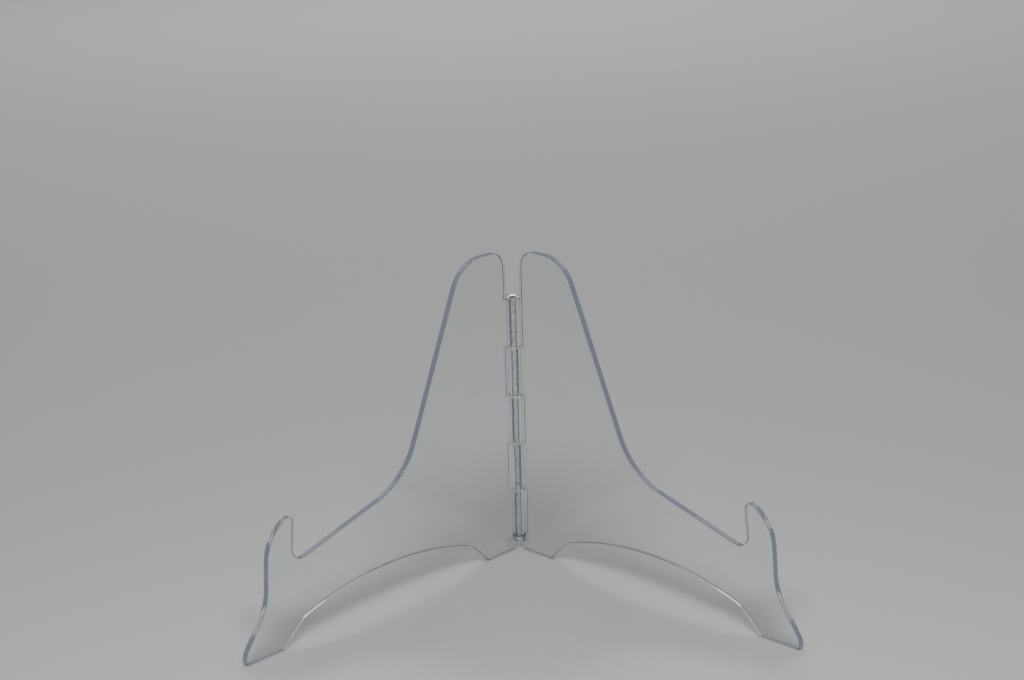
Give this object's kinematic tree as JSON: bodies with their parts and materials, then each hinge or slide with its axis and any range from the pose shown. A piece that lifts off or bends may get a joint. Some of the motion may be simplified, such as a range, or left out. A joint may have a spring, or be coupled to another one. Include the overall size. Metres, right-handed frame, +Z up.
{
  "type": "plate display stand",
  "caption": "Clear acrylic folding display stand: two upright sheet wings with rim notches and arched feet, joined by a barrel hinge at the back.",
  "frame": {"origin": "on the table, at the centre of the open stand's footprint", "axes": "+X to the stand's right as seen from the front, +Y to the back where the hinge is, +Z up"},
  "size_m": [0.3258, 0.1646, 0.205],
  "materials": {
    "clear_acrylic": "clear cast acrylic, polished faces and edges",
    "steel": "stainless steel, fine turned finish",
    "nylon": "natural nylon, matt"
  },
  "bodies": {
    "left": {"left_wing": "clear_acrylic", "left_knuckle_bottom": "clear_acrylic", "left_knuckle_middle": "clear_acrylic", "left_knuckle_top": "clear_acrylic", "hinge_pin": "steel", "pin_head_cap": "steel", "pin_retaining_cap": "steel", "hinge_washers": "nylon"},
    "right": {"right_wing": "clear_acrylic", "right_knuckle_lower": "clear_acrylic", "right_knuckle_upper": "clear_acrylic"}
  },
  "joints": [
    {"name": "wing_fold", "type": "hinge", "parent": "left", "child": "right", "pos_m": [0, 0.07732, 0.09], "axis": [0, 0, 1], "range_deg": [-90, 90]}
  ]
}
